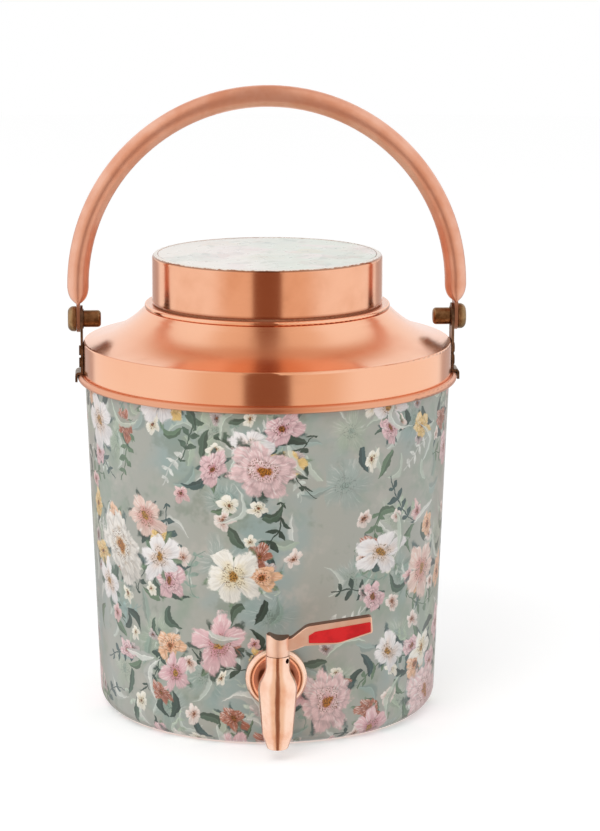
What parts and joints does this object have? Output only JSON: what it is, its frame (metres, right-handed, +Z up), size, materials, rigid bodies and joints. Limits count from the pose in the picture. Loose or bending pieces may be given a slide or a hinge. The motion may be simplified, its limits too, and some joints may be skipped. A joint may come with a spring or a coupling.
{
  "type": "water pot with tap",
  "caption": "Round copper water pot with a stepped shoulder, push-on cap, swinging bail handle and a quarter-turn tap low on the front.",
  "frame": {"origin": "centre of the flat base, on the surface the pot stands on", "axes": "+Z up along the pot's axis, -Y towards the tap, X through the two handle pivots"},
  "size_m": [0.2078, 0.2173, 0.3269],
  "materials": {
    "printed_copper": "semi-gloss floral print on copper sheet",
    "printed_disc": "semi-gloss pale floral print",
    "copper": "polished copper sheet with fine spin marks",
    "handle_copper": "polished copper tube",
    "antique_bronze": "dark antique bronze",
    "tap_copper": "polished copper-plated brass",
    "plain_brass": "machined brass",
    "steel": "bright steel",
    "black_rubber": "matt rubber",
    "red_plastic": "glossy moulded plastic"
  },
  "bodies": {
    "pot": {"pot_body": "printed_copper", "shoulder": "copper", "neck": "copper", "bead_wire": "steel", "left_ear": "antique_bronze", "right_ear": "antique_bronze", "ear_rivets": "antique_bronze", "left_pivot_bolt": "antique_bronze", "right_pivot_bolt": "antique_bronze", "left_pivot_nut": "antique_bronze", "right_pivot_nut": "antique_bronze", "pivot_washers": "antique_bronze", "tap_body": "tap_copper", "retaining_screw": "steel", "tap_outer_washer": "black_rubber", "tap_inner_washer": "black_rubber", "tap_steel_washer": "steel", "tap_lock_nut": "plain_brass"},
    "cap": {"cap": "copper", "cap_disc": "printed_disc"},
    "bail": {"bail": "handle_copper"},
    "lever": {"lever": "tap_copper", "lever_grip": "red_plastic", "valve_plug": "plain_brass"}
  },
  "joints": [
    {"name": "cap_lift", "type": "slide", "parent": "pot", "child": "cap", "axis": [0, 0, 1], "range_m": [0, 0.05]},
    {"name": "bail_swing", "type": "hinge", "parent": "pot", "child": "bail", "pos_m": [0, 0, 0.206], "axis": [1, 0, 0], "range_deg": [-100, 100]},
    {"name": "lever_turn", "type": "hinge", "parent": "pot", "child": "lever", "pos_m": [0, -0.10851, 0.054], "axis": [0, 0, 1], "range_deg": [-90, 0]}
  ]
}
